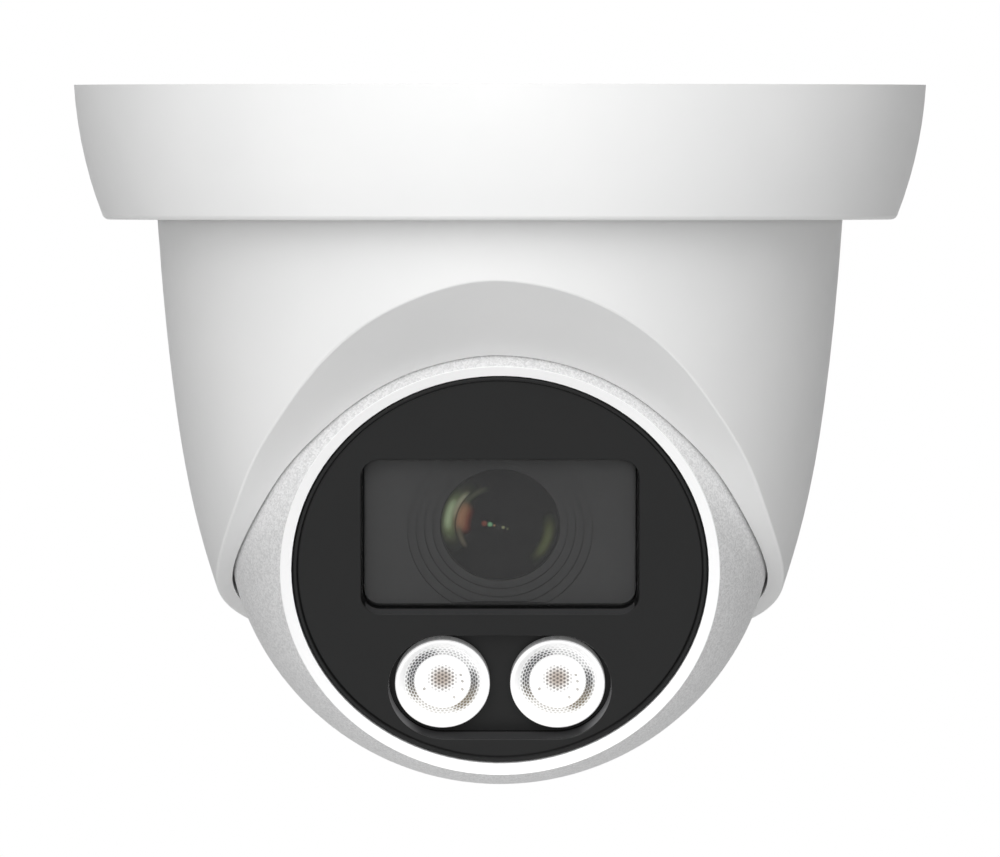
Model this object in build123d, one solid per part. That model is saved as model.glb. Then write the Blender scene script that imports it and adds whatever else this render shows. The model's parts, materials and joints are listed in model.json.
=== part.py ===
from build123d import *
import os
from math import cos, radians, sin, sqrt

# Ceiling-mounted turret camera.  Millimetres, +Z up, the lens looks towards -Y.
# The origin is the centre of the ceiling screw circle, on the ceiling.

# ---------------------------------------------------------------- driving dimensions
FLANGE_R = 61.0            # ceiling flange, where it meets the ceiling
FLANGE_MID_R = 59.86       # flange radius part of the way down its convex side
FLANGE_MID_Z = -8.6
FLANGE_FOOT_R = 56.65      # flange radius at its underside, before its corner is rounded
FLANGE_CORNER_R = 1.0
FLANGE_BOTTOM = -19.26
FLANGE_WALL = 2.4
FLANGE_FLOOR = FLANGE_BOTTOM + FLANGE_WALL
TURRET_HOLE_R = 49.6       # opening in the flange that the turret turns in

TURRET_R = 49.04           # turret, where it comes out of the flange
TURRET_WALL = 2.6
TURRET_TOP = -15.8
TURRET_BASE_CUT = -85.5    # the turned outline ends below the opening's edge
CAVITY_FLOOR = -57.3       # below this the turret is solid out to its outline
TOP_RING_R = 41.0          # hole in the turret's thick top ring
TOP_RING_UNDER = -20.0
# radius and height of the turret's outline, from the flange down
TURRET_OUTLINE = [
    (TURRET_R, -19.3), (48.05, -31.6), (46.6, -44.5), (44.5, -57.3),
    (42.4, -65.9), (40.6, -71.7), (37.9, -78.6), (33.5, TURRET_BASE_CUT),
]

BALL_R = 39.28
BALL_Z = -60.84            # height of the ball's centre
LOOK_DOWN = 21.0           # the optical axis, degrees below level, as stored
TURRET_SEAT_R = BALL_R + 0.42
PAD_SEAT_R = BALL_R + 0.12
BALL_WALL = 2.4

# The turret's opening is a cone with its point at the ball's centre.  Each entry is the
# bearing from the front and the angle up from straight down, in degrees, for one half.
OPENING_RIM = [
    (0, 124.3), (13, 122.7), (23, 119.5), (32, 114.7), (43, 106.1), (51, 99.1),
    (60, 90.3), (75, 80.0), (90, 73.7), (110, 67.8), (140, 62.3), (180, 60.0),
]
OPENING_AXIS_DOWN = 57.5   # degrees below level, along the middle of the opening
OPENING_WALL = 2.5
OPENING_EDGE_R = 0.35

# Along the optical axis, from the ball's centre towards the lens
LIP_OUTER_R = 31.3
LIP_INNER_R = 29.75
LIP_FRONT = sqrt(BALL_R**2 - LIP_OUTER_R**2)
LIP_INNER = LIP_FRONT - 0.49
FACE_FRONT = 22.8
FACE_R = 29.6
RIM_FRONT = 23.2           # raised rim round the face
RIM_INNER_R = 29.05
RIM_FOOT_R = 28.8
RIM_BEVEL = 0.25
FACE_EDGE = 0.12           # broken edges of the face's recesses
FACE_REAR = 18.4
FACE_BACK = 16.2           # rear of the ribs and pockets behind the face
LEDGE_FRONT = 17.6
LEDGE_REAR = 15.6
LEDGE_R = 25.6
FACE_RIB_R = 25.3
SEAM = -4.0                # where the two ball shells meet

# On the face, X to the right and Y up from its centre
LENS_Y = 4.95
WINDOW_W = 38.96
WINDOW_H = 22.92
WINDOW_CORNER_R = 2.4
WINDOW_FRONT = 21.2
WINDOW_REAR = 20.1
WINDOW_EDGE_R = 0.5
WINDOW_FIT = 0.15          # the window and the pieces behind it in their recess
WINDOW_LEDGE = 1.5
SEAL_T = 0.4
RECESS_BOTTOM = 20.7
RECESS_TAPER = 10.3
BAFFLE_REAR = 17.4
# radius and height of each ring that steps down from the window towards the lens
BAFFLE_STEPS = [(13.2, 19.6), (12.0, 19.15), (10.8, 18.75), (9.65, 18.35)]
LENS_R = 8.45
LENS_CROWN = 18.75
LENS_DOME_R = 60.0
LAMP_Y = -18.2
LAMP_X = 8.22
LAMP_R = 6.77
LAMP_RECESS_R = 8.0
LAMP_RECESS_HALF = 15.97
LAMP_FLOOR = 19.7
LAMP_FRONT = 21.6
LAMP_NECK_R = 4.4
LAMP_TAPER = 3.0
LAMP_POCKET_INSET = -0.18
LAMP_BOARD_FRONT = 17.6
LAMP_BOARD_T = 1.0

CEILING_HOLE_R = 2.25
CEILING_SCREW_R = 44.0     # radius of the ceiling screws' circle
CABLE_HOLE_R = 4.5
PLATE_R = 58.0
PLATE_T = 3.5
PLATE_RIB_H = 2.4          # ribs under the plate
RIB_FOOT = -PLATE_T - PLATE_RIB_H
RIB_RING_R = 31.0          # inside of the ring-shaped rib
HUB_R = 19.0               # thick ring round the cable bush
BUSH_SEAT_R = 14.2
GROOVE_OUTER_R = 51.0      # gasket's groove in the top of the plate
GROOVE_INNER_R = 47.4
GROOVE_DEPTH = 1.0
HEAD_SEAT = 2.2            # depth of the flange screws' heads in the plate
BOSS_FOOT = -12.5          # lower end of the flange's screw bosses
BEARING_OUTER_R = 53.7
BEARING_INNER_R = 50.0
BEARING_T = 0.95
LOCK_SCREW_Y = 56.0
LOCK_SCREW_Z = -14.8

RETAINER_T = 2.0
RETAINER_TOP = TURRET_TOP + RETAINER_T
PRESSURE_TOP = -17.6       # top of the pressure ring, under the spring
PAD_R = 4.0                # friction pads
PAD_H = 1.45
PAD_BEARINGS = (110, 180, 250)
PAD_DROP = -0.07           # how far the pads point down, as a slope

COLLAR_R = 32.0
COLLAR_FRONT = -27.2
COLLAR_REAR = -31.95
WASHER_T = 0.5
NECK_R = 20.0
CLIP_REAR = -32.85         # the snap ring's groove in the neck
CLIP_FRONT = -32.05
CLIP_GROOVE_R = 19.2
GLAND_REAR = -37.2         # the gland's seat at the back of the ball
GLAND_FRONT = -34.8
GLAND_HOLE_R = 6.0
SPIGOT_R = 34.0            # bore through both shells at the seam
SEAL_R = 37.4
SEAL_WIRE_R = 0.5
SHELL_HEAD_Z = -9.0        # the shell screws' heads bear here
RUNNING = 0.06             # running fit on the neck
CLEAR = 0.05               # between pieces that are fixed together
BOARD_T = 1.6
BOARD_R = 31.2
SENSOR_BOARD_Z = 2.4
MAIN_BOARD_Z = -9.2
MAIN_BOARD_FRONT = MAIN_BOARD_Z + BOARD_T
PROCESSOR_H = 1.4
PAD_T = 0.7                # thermal pad behind the processor
BARREL_REAR = 7.2
BARREL_SEAT = 15.5         # the front glass sits here
BARREL_THREAD_R = 7.0
SENSOR_BASE = 4.0          # front of the sensor board's parts
FILTER_REAR = 6.2
FILTER_T = 0.5
SPREADER_REAR = -13.35

FLANGE_SCREW_R = 54.6      # radius of the circle of screws that hold the flange
RETAINING_SCREW_R = 45.0
SHELL_SCREW_R = 33.0
FACE_SCREW_R = 27.7
POST_R = 28.3
PILOT_R = 1.3              # holes that the M2.5 screws cut their thread in
PAST = 1.0                 # how far a cutting shape runs past the surface it opens
THIRDS = (0, 120, 240)
QUARTERS = (0, 90, 180, 270)
DIAGONALS = (45, 135, 225, 315)
SIXTHS = (0, 60, 120, 180, 240, 300)

BASE_ALIGN = (Align.CENTER, Align.CENTER, Align.MIN)
OPTICS = Plane(
    origin=(0, 0, BALL_Z),
    x_dir=(1, 0, 0),
    z_dir=(0, -cos(radians(LOOK_DOWN)), -sin(radians(LOOK_DOWN))),
)


# ---------------------------------------------------------------- shapes used throughout
def disc(radius, low, high):
    return Pos(0, 0, low) * Cylinder(radius, high - low, align=BASE_ALIGN)


def ring(outer, inner, low, high):
    return disc(outer, low, high) - disc(inner, low - 1, high + 1)


def slab(sketch, low, high):
    return extrude(Pos(0, 0, low) * sketch, amount=high - low)


def spread(shape, radius, angles):
    """Copies of a shape round the Z axis."""
    return [Rot(0, 0, angle) * Pos(radius, 0, 0) * shape for angle in angles]


def turned(points):
    """A closed outline of radius and height, turned about the Z axis."""
    return revolve(make_face(Plane.XZ * Polyline(*points, close=True)), Axis.Z)


def cap_screw(head_r, head_h, shank_r, length, socket_r):
    """Socket head screw, its head above Z = 0 and its shank below."""
    head = chamfer(disc(head_r, 0, head_h).edges().group_by(Axis.Z)[-1], 0.15 * head_h)
    socket = slab(RegularPolygon(socket_r, 6), 0.45 * head_h, head_h + 1)
    shank = disc(shank_r, -length, 0)
    tip = chamfer(shank.edges().group_by(Axis.Z)[0], 0.25 * shank_r)
    return head - socket + tip


def flipped(shape):
    return Rot(180, 0, 0) * shape


# ---------------------------------------------------------------- fixed base
def mounting_plate():
    """Die-cast plate against the ceiling, with the ceiling screw holes and the cable hole."""
    ceiling_screws = [90 + angle for angle in THIRDS]
    flange_screws_at = [30 + angle for angle in THIRDS]
    rib_t = 2.0
    spoke_t = 1.8
    pad = disc(5.2, -PLATE_T - 0.8, -PLATE_T)
    plate = disc(PLATE_R, -PLATE_T, 0)
    plate += ring(RIB_RING_R + rib_t, RIB_RING_R, RIB_FOOT, -PLATE_T)
    plate += ring(HUB_R, BUSH_SEAT_R, RIB_FOOT, -PLATE_T)
    spoke = Box(RIB_RING_R - HUB_R + PAST, spoke_t, PLATE_RIB_H)
    plate += spread(Pos(0, 0, (RIB_FOOT - PLATE_T) / 2) * spoke, (HUB_R + RIB_RING_R) / 2, SIXTHS)
    plate += spread(pad, CEILING_SCREW_R, ceiling_screws)
    plate -= ring(GROOVE_OUTER_R, GROOVE_INNER_R, -GROOVE_DEPTH, PAST)
    plate -= disc(BUSH_SEAT_R, RIB_FOOT - PAST, PAST)
    plate -= spread(disc(CEILING_HOLE_R, RIB_FOOT - PAST, PAST), CEILING_SCREW_R, ceiling_screws)
    plate -= spread(disc(1.6, RIB_FOOT - PAST, PAST), FLANGE_SCREW_R, flange_screws_at)
    plate -= spread(disc(2.8, -HEAD_SEAT, PAST), FLANGE_SCREW_R, flange_screws_at)
    return plate


def ceiling_gasket():
    fit = 0.1
    gasket = ring(GROOVE_OUTER_R - fit, GROOVE_INNER_R + fit, -GROOVE_DEPTH, 0)
    return fillet(gasket.edges().group_by(Axis.Z)[0], 0.3)


def cable_grommet():
    """Rubber bush in the plate's middle hole, for the lead that comes down from the ceiling."""
    collar_top = RIB_FOOT - CLEAR
    collar_foot = collar_top - 1.55
    flex_depth = 2.6
    bush = ring(BUSH_SEAT_R - 0.1, CABLE_HOLE_R, collar_foot + 0.6, -0.3)
    bush += ring(BUSH_SEAT_R + 2.2, CABLE_HOLE_R, collar_foot, collar_top)
    bush -= ring(12.0, 7.0, -flex_depth, PAST)
    return bush


def flange_outline(inset):
    """The flange's side, moved in by the wall thickness for its inner face."""
    side = ThreePointArc(
        (FLANGE_R - inset, 0),
        (FLANGE_MID_R - inset, FLANGE_MID_Z),
        (FLANGE_FOOT_R - inset, FLANGE_BOTTOM),
    )
    floor = Line((FLANGE_FOOT_R - inset, FLANGE_BOTTOM), (0, FLANGE_BOTTOM))
    middle = Line((0, FLANGE_BOTTOM), (0, 0))
    top = Line((0, 0), (FLANGE_R - inset, 0))
    return revolve(Plane.XZ * make_face([side, floor, middle, top]), Axis.Z)


def flange_cover():
    """White ring that hides the mounting plate and carries the turret on its floor."""
    screws_at = [30 + angle for angle in THIRDS]
    solid = flange_outline(0)
    solid = fillet(solid.edges().group_by(Axis.Z)[0], FLANGE_CORNER_R)
    hollow = flange_outline(FLANGE_WALL) & disc(FLANGE_R, FLANGE_FLOOR, PAST)
    cover = solid - hollow - disc(TURRET_HOLE_R, FLANGE_BOTTOM - PAST, 0)
    fence_r = BEARING_OUTER_R + 0.1
    cover += ring(fence_r + 0.6, fence_r, FLANGE_FLOOR - 0.2, FLANGE_FLOOR + 0.9)
    boss_r = 3.0
    web = Pos(boss_r, 0, (BOSS_FOOT - PLATE_T) / 2) * Box(4.0, 3.0, -BOSS_FOOT - PLATE_T)
    boss = disc(boss_r, BOSS_FOOT, -PLATE_T) + web
    cover += [piece & solid for piece in spread(boss, FLANGE_SCREW_R, screws_at)]
    cover -= spread(disc(PILOT_R, BOSS_FOOT + 1.5, 0), FLANGE_SCREW_R, screws_at)
    cover -= lock_screw_place() * disc(1.55, -12, 12)
    return cover


def lock_screw_place():
    """Radial axis through the back of the flange, level with the turret's retaining ring."""
    return Pos(0, LOCK_SCREW_Y, LOCK_SCREW_Z) * Rot(-90, 0, 0)


def flange_screws():
    screw = cap_screw(head_r=2.5, head_h=1.9, shank_r=1.25, length=8.4, socket_r=1.4)
    seated = Pos(0, 0, -HEAD_SEAT + CLEAR) * screw
    return Compound(children=spread(seated, FLANGE_SCREW_R, [30 + angle for angle in THIRDS]))


def pan_bearing_ring():
    """Nylon ring on the flange's floor, with grease slots in its top."""
    top = FLANGE_FLOOR + BEARING_T
    middle = (BEARING_OUTER_R + BEARING_INNER_R) / 2
    bearing = ring(BEARING_OUTER_R, BEARING_INNER_R, FLANGE_FLOOR, top)
    slot = Pos(0, 0, top) * Box(5.0, 1.2, 0.8)
    return bearing - spread(slot, middle, [15 + angle for angle in SIXTHS])


def pan_lock_screw():
    """Headless screw that stops the turret from being turned once it is aimed."""
    screw = disc(1.5, -2.4, 1.9)
    screw = chamfer(screw.edges().group_by(Axis.Z)[0], 0.5)
    socket = slab(RegularPolygon(0.9, 6), 0.2, 3)
    return lock_screw_place() * (screw - socket)


# ---------------------------------------------------------------- turret, turns about Z
def opening_cone(shift, near):
    """The face of the opening's cone, from near its point to well outside the turret."""
    other_half = [(-bearing, rise) for bearing, rise in reversed(OPENING_RIM[1:-1])]
    axis = Vector(0, -cos(radians(OPENING_AXIS_DOWN)), -sin(radians(OPENING_AXIS_DOWN)))
    point = Vector(0, 0, BALL_Z) - axis * shift
    rays = []
    for bearing, rise in OPENING_RIM + other_half:
        out = sin(radians(rise))
        rays.append(Vector(out * sin(radians(bearing)), -out * cos(radians(bearing)), -cos(radians(rise))))
    far = FLANGE_R + 14
    near_loop = Edge.make_spline([point + ray * near for ray in rays], periodic=True)
    far_loop = Edge.make_spline([point + ray * far for ray in rays], periodic=True)
    return Face.make_surface_from_curves(near_loop, far_loop)


def above_cone(shape, cone):
    """The piece of a shape that lies above the opening's cone."""
    pieces = ShapeList(shape.split(cone, keep=Keep.ALL)).solids()
    return max(pieces, key=lambda piece: piece.bounding_box().max.Z + 0.01 * piece.center().Z)


def turret_outer():
    side = Spline(*TURRET_OUTLINE, tangents=((-0.07, -1), (-0.65, -0.76)))
    start = TURRET_OUTLINE[0]
    end = TURRET_OUTLINE[-1]
    rest = Polyline(end, (0, end[1]), (0, TURRET_TOP), (TURRET_R, TURRET_TOP), start)
    return revolve(Plane.XZ * make_face([side, rest]), Axis.Z)


def turret_hollow():
    walls = [(radius - TURRET_WALL, height) for radius, height in TURRET_OUTLINE[:4]]
    side = Spline(*walls, tangents=((-0.07, -1), (-0.2, -1)))
    rest = Polyline(walls[-1], (0, walls[-1][1]), (0, walls[0][1]), walls[0])
    hollow = revolve(Plane.XZ * make_face([side, rest]), Axis.Z)
    hollow &= disc(TURRET_R, CAVITY_FLOOR, TOP_RING_UNDER)
    return above_cone(hollow, opening_cone(OPENING_WALL, 0.4))


def pad_places():
    """Three seats on the ball's surface, behind the opening, each with Z pointing outwards."""
    places = []
    for bearing in PAD_BEARINGS:
        out = Vector(sin(radians(bearing)), -cos(radians(bearing)), PAD_DROP)
        places.append(Plane(origin=(0, 0, BALL_Z), z_dir=out))
    return places


def turret_housing():
    """Moulded turret with the cone-shaped opening that shows the ball."""
    ball_room = Pos(0, 0, BALL_Z) * Sphere(TURRET_SEAT_R)
    housing = turret_outer() - turret_hollow() - disc(TOP_RING_R, TOP_RING_UNDER - 0.01, 0) - ball_room
    housing = above_cone(housing, opening_cone(0, 4))
    rim = housing.edges().filter_by(GeomType.BSPLINE).filter_by(on_outer_rim)
    housing = housing.fillet(OPENING_EDGE_R, rim)
    housing -= spread(disc(PILOT_R, TURRET_TOP - 3.2, 0), RETAINING_SCREW_R, SIXTHS)
    for place in pad_places():
        housing -= place * disc(PAD_R + 0.1, BALL_R, BALL_R + PAD_H + CLEAR)
    return housing


def on_outer_rim(edge):
    """True for the long edges away from the ball, where the opening's cone meets the turret."""
    centre = Vector(0, 0, BALL_Z)
    reach = min((edge @ along - centre).length for along in (0.1, 0.5, 0.9))
    box = edge.bounding_box()
    level = box.size.Z < 1.0 or box.size.X < 1.0
    return edge.length > 60 and reach > BALL_R + 1.2 and not level


def friction_pads():
    """Nylon buttons in the turret that bear on the ball."""
    button = disc(PAD_R, BALL_R - 1, BALL_R + PAD_H) - Sphere(PAD_SEAT_R)
    return Compound(children=[place * button for place in pad_places()])


def retaining_ring():
    """Steel ring on top of the turret; it rides on the bearing ring and holds the spring down."""
    plate = ring(53.2, 26.0, TURRET_TOP, RETAINER_TOP)
    plate -= spread(disc(1.45, TURRET_TOP - PAST, 0), RETAINING_SCREW_R, SIXTHS)
    middle = CenterArc(center=(0, 0), radius=35.0, start_angle=8, arc_size=44)
    window = slab(SlotArc(middle, 6.0), TURRET_TOP - PAST, 0)
    return plate - spread(window, 0, SIXTHS)


def retaining_screws():
    screw = cap_screw(head_r=2.4, head_h=1.8, shank_r=1.25, length=4.8, socket_r=1.4)
    return Compound(children=spread(Pos(0, 0, RETAINER_TOP) * screw, RETAINING_SCREW_R, SIXTHS))


def pressure_ring():
    """Nylon ring that the spring presses onto the top of the ball."""
    inner_r = 24.0
    rim_r = 40.5
    foot = -36.0
    outline = [(inner_r, PRESSURE_TOP), (rim_r, PRESSURE_TOP), (rim_r, PRESSURE_TOP - 2.2),
               (30.4, -26.5), (29.0, foot), (inner_r, foot)]
    seat = turned(outline) - Pos(0, 0, BALL_Z) * Sphere(PAD_SEAT_R)
    return seat - spread(disc(2.4, PRESSURE_TOP - 4, PRESSURE_TOP + PAST), 35.2, SIXTHS)


def wave_spring():
    """Flat wire bent into waves, between the retaining ring and the pressure ring."""
    waves = 6
    steps = 8 * waves
    rise = 0.55
    wire = 0.5
    middle = (TURRET_TOP + PRESSURE_TOP - wire) / 2
    loops = []
    for radius in (27.0, 30.0):
        points = []
        for step in range(steps):
            angle = radians(360 * step / steps)
            height = middle + rise * cos(waves * angle)
            points.append((radius * cos(angle), radius * sin(angle), height))
        loops.append(Edge.make_spline(points, periodic=True))
    sheet = Face.make_surface_from_curves(loops[0], loops[1])
    return extrude(sheet, amount=wire, dir=(0, 0, 1))


# ---------------------------------------------------------------- collar, tilts about X
def swivel_collar():
    """Ring let into the back of the ball, flush with its surface, that the ball rolls in."""
    collar = ring(COLLAR_R, NECK_R + RUNNING, COLLAR_REAR, COLLAR_FRONT - WASHER_T - CLEAR)
    collar &= Sphere(BALL_R)
    notch = Pos(0, 0, (COLLAR_REAR + COLLAR_FRONT) / 2 - 1.6) * Box(4.0, 2.4, 3.0)
    return collar - spread(notch, 25.5, SIXTHS)


def collar_washer():
    return ring(26.5, NECK_R + RUNNING, COLLAR_FRONT - WASHER_T, COLLAR_FRONT - CLEAR)


# ---------------------------------------------------------------- ball, rolls about the optical axis
def ball_slab(low, high):
    """The part of the full ball between two planes across the optical axis."""
    return Sphere(BALL_R) & disc(BALL_R + 1, low, high)


def ball_front_shell():
    """Die-cast front of the ball, with the lip round the face and the ledge behind it."""
    lip = [(0, LIP_INNER), (LIP_INNER_R, LIP_INNER), (LIP_OUTER_R, LIP_FRONT),
           (LIP_OUTER_R, LIP_FRONT + PAST), (0, LIP_FRONT + PAST)]
    boss = disc(3.2, SEAM, 10)
    post = disc(2.2, SENSOR_BOARD_Z + BOARD_T, LEDGE_REAR + 0.5)
    shell = ball_slab(SEAM, LIP_FRONT)
    shell -= Sphere(BALL_R - BALL_WALL) & disc(BALL_R, SEAM + 2.5, LEDGE_REAR)
    shell -= disc(SPIGOT_R, SEAM - PAST, SEAM + 3)
    shell += [one & Sphere(BALL_R - 1) for one in spread(boss, SHELL_SCREW_R, DIAGONALS)]
    shell += spread(post, POST_R, QUARTERS)
    shell -= disc(LEDGE_R, LEDGE_REAR - PAST, LIP_FRONT + PAST)
    shell -= disc(LIP_INNER_R, LEDGE_FRONT, LIP_FRONT + PAST)
    shell -= turned(lip)
    shell -= spread(disc(PILOT_R, SEAM - PAST, 6.5), SHELL_SCREW_R, DIAGONALS)
    shell -= spread(disc(PILOT_R, 0, 13), POST_R, QUARTERS)
    shell -= spread(disc(1.2, 10, LEDGE_FRONT + PAST), FACE_SCREW_R, DIAGONALS)
    return OPTICS * shell


def ball_rear_shell():
    """Die-cast back of the ball, with the neck for the collar and the cable gland's seat."""
    inner = Sphere(BALL_R - BALL_WALL)
    back = -BALL_R - PAST
    boss = disc(3.6, -22, SEAM)
    spreader_post = disc(2.0, -25.5, SPREADER_REAR - CLEAR)
    shell = ball_slab(back, SEAM)
    shell -= inner & disc(BALL_R, -24.8, SEAM - 2.5)
    shell -= inner & disc(NECK_R - BALL_WALL, back, -24)
    shell -= disc(SPIGOT_R, SEAM - 3, SEAM + PAST)
    shell -= ring(BALL_R + PAST, NECK_R, back, COLLAR_FRONT)
    shell -= ring(NECK_R + PAST, CLIP_GROOVE_R, CLIP_REAR, CLIP_FRONT)
    shell += [one & Sphere(BALL_R - 1) for one in spread(boss, SHELL_SCREW_R, DIAGONALS)]
    shell += spread(spreader_post, 22.4, (0, 180))
    shell += disc(9.5, GLAND_REAR - 0.3, GLAND_FRONT) & Sphere(BALL_R - 1)
    shell -= disc(8.0, back, GLAND_REAR)
    shell -= disc(GLAND_HOLE_R, back, -30)
    shell -= spread(disc(1.35, -30, SEAM + PAST), SHELL_SCREW_R, DIAGONALS)
    shell -= spread(disc(2.5, -30, SHELL_HEAD_Z), SHELL_SCREW_R, DIAGONALS)
    shell -= ring(SEAL_R + 0.55, SEAL_R - 0.55, SEAM - 2 * SEAL_WIRE_R - CLEAR, SEAM + PAST)
    return OPTICS * shell


def shell_seal():
    return OPTICS * Pos(0, 0, SEAM - SEAL_WIRE_R - 0.02) * Torus(SEAL_R, SEAL_WIRE_R)


def shell_screws():
    screw = flipped(cap_screw(head_r=2.25, head_h=2.0, shank_r=1.25, length=14.0, socket_r=1.35))
    placed = Pos(0, 0, SHELL_HEAD_Z) * screw
    return Compound(children=[OPTICS * one for one in spread(placed, SHELL_SCREW_R, DIAGONALS)])


def collar_clip():
    """Open snap ring in the neck's groove; it keeps the collar on."""
    clip = ring(20.9, CLIP_GROOVE_R + CLEAR, CLIP_REAR + CLEAR, CLIP_FRONT - CLEAR)
    gap = Pos(NECK_R, 0, CLIP_REAR) * Box(6, 5, 4)
    return OPTICS * (clip - gap)


def cable_gland():
    """Rubber gland through the back of the ball, closed by a thin web in front."""
    bush = disc(7.6, GLAND_REAR - 1.2, GLAND_REAR - CLEAR)
    bush += disc(GLAND_HOLE_R - 0.1, GLAND_REAR - 0.8, -31.2)
    bush -= disc(2.6, -BALL_R - PAST, -36.4)
    bush -= [ring(6.6, 5.3, low, low + 0.5) for low in (-33.0, -32.0)]
    return OPTICS * bush


def gland_nut():
    low = GLAND_FRONT + CLEAR
    high = -33.1
    nut = slab(RegularPolygon(8.4, 6), low, high) - disc(GLAND_HOLE_R - CLEAR, low - PAST, high + PAST)
    return OPTICS * nut


# ---------------------------------------------------------------- face
def window_outline(margin):
    corner = WINDOW_CORNER_R + margin
    return Pos(0, LENS_Y) * RectangleRounded(WINDOW_W + 2 * margin, WINDOW_H + 2 * margin, corner)


def lamp_outline(margin):
    reach = 2 * (LAMP_RECESS_HALF - LAMP_RECESS_R)
    return Pos(0, LAMP_Y) * SlotCenterToCenter(reach, 2 * (LAMP_RECESS_R + margin))


def lamp_places():
    return [Pos(x, LAMP_Y, 0) for x in (-LAMP_X, LAMP_X)]


def face_plate():
    """Black moulded face with the window's recess above and the lamps' recess below."""
    rim = [(0, FACE_FRONT), (RIM_FOOT_R, FACE_FRONT), (RIM_INNER_R, RIM_FRONT),
           (RIM_INNER_R, RIM_FRONT + PAST), (0, RIM_FRONT + PAST)]
    lamp_pocket = lamp_outline(LAMP_POCKET_INSET)
    plate = disc(FACE_R, FACE_REAR, RIM_FRONT)
    plate = chamfer(plate.edges().group_by(Axis.Z)[-1], RIM_BEVEL)
    plate -= turned(rim)
    plate -= extrude(Pos(0, 0, RECESS_BOTTOM) * window_outline(0), amount=3, taper=-RECESS_TAPER)
    plate -= extrude(Pos(0, 0, LAMP_FLOOR) * lamp_pocket, amount=4, taper=-LAMP_TAPER)
    plate = fillet(recess_edges(plate), FACE_EDGE)
    plate += disc(FACE_RIB_R, FACE_BACK, FACE_REAR)
    core = disc(23.8, FACE_BACK - PAST, 20.6)
    core -= slab(window_outline(1.6), FACE_BACK - 2 * PAST, 21)
    core -= slab(lamp_outline(1.2), FACE_BACK - 2 * PAST, 21)
    plate -= core
    plate -= slab(window_outline(0), BAFFLE_REAR - SEAL_T, RECESS_BOTTOM + 0.1)
    plate -= slab(window_outline(-WINDOW_LEDGE), FACE_BACK - PAST, RECESS_BOTTOM)
    plate -= slab(Pos(0, LAMP_Y) * SlotOverall(28.4, 10.0), FACE_BACK - PAST, FACE_REAR)
    for place in lamp_places():
        plate -= place * disc(LAMP_NECK_R + 0.1, 15, 22)
    plate -= Pos(0, LAMP_Y, 0) * disc(0.8, 18, 19.3)
    plate -= spread(disc(1.0, 18, 21.6), FACE_SCREW_R, DIAGONALS)
    return OPTICS * plate


def recess_edges(plate):
    """The edges of the two recesses where they open in the front of the face."""
    front = plate.edges().filter_by_position(Axis.Z, FACE_FRONT - 0.01, FACE_FRONT + 0.01)
    return front.filter_by(lambda edge: (edge @ 0.5).length < RIM_FOOT_R - 0.5)


def face_gasket():
    gasket = ring(FACE_R - 0.1, LEDGE_R + 0.1, LEDGE_FRONT, FACE_REAR)
    gasket -= spread(disc(1.25, 10, 20), FACE_SCREW_R, DIAGONALS)
    return OPTICS * gasket


def face_screws():
    screw = flipped(cap_screw(head_r=1.6, head_h=1.4, shank_r=0.95, length=5.5, socket_r=0.9))
    placed = Pos(0, 0, LEDGE_REAR) * screw
    return Compound(children=[OPTICS * one for one in spread(placed, FACE_SCREW_R, DIAGONALS)])


def lens_window():
    """Smoked window in front of the lens, its front edge rounded."""
    pane = slab(window_outline(-WINDOW_FIT), WINDOW_REAR, WINDOW_FRONT)
    return OPTICS * fillet(pane.edges().group_by(Axis.Z)[-1], WINDOW_EDGE_R)


def lens_baffle():
    """Black plate behind the window, stepped down in rings towards the lens."""
    top = WINDOW_REAR - CLEAR
    plate = slab(window_outline(-WINDOW_FIT), BAFFLE_REAR, top)
    lens = Pos(0, LENS_Y, 0)
    for radius, height in BAFFLE_STEPS:
        plate -= lens * disc(radius, height, top + 1)
    plate -= lens * disc(LENS_R + 0.12, 10, 30)
    return OPTICS * plate


def window_seal():
    low = BAFFLE_REAR - SEAL_T
    frame = slab(window_outline(-WINDOW_FIT), low, BAFFLE_REAR)
    return OPTICS * (frame - slab(window_outline(-WINDOW_LEDGE), low - PAST, BAFFLE_REAR + PAST))


# ---------------------------------------------------------------- lens and sensor
def on_lens_axis(shape):
    return OPTICS * Pos(0, LENS_Y, 0) * shape


def lens_barrel():
    """Black anodised barrel: a knurled head, a threaded body and a flared bore."""
    head_r = 9.2
    head_rear = 14.4
    bore_r = 4.4
    bore_front = 9.0
    teeth = 24
    barrel = disc(head_r, head_rear, BAFFLE_REAR - 0.1)
    barrel += disc(BARREL_THREAD_R, BARREL_REAR, head_rear + 0.1)
    barrel = chamfer(barrel.edges().group_by(Axis.Z)[-1], 0.2)
    grip = Pos(0, 0, 15.8) * Box(0.8, 0.7, 1.6)
    barrel -= spread(grip, head_r + 0.1, [360 / teeth * step for step in range(teeth)])
    barrel -= disc(LENS_R + CLEAR, BARREL_SEAT, 20)
    flare_front = BARREL_SEAT + 0.1
    barrel -= turned([(0, bore_front), (bore_r, bore_front), (7.4, flare_front), (0, flare_front)])
    barrel -= disc(bore_r, BARREL_REAR - PAST, bore_front + 0.1)
    return on_lens_axis(barrel)


def lens_front_element():
    """Front glass, flat behind and domed in front."""
    glass = disc(LENS_R, BARREL_SEAT + CLEAR, LENS_CROWN + PAST)
    return on_lens_axis(glass & Pos(0, 0, LENS_CROWN - LENS_DOME_R) * Sphere(LENS_DOME_R))


def lens_rear_element():
    crown = 10.2
    dome_r = 9.0
    glass = disc(4.35, BARREL_REAR + 0.4, crown + PAST) & Pos(0, 0, crown - dome_r) * Sphere(dome_r)
    return on_lens_axis(glass)


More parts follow.
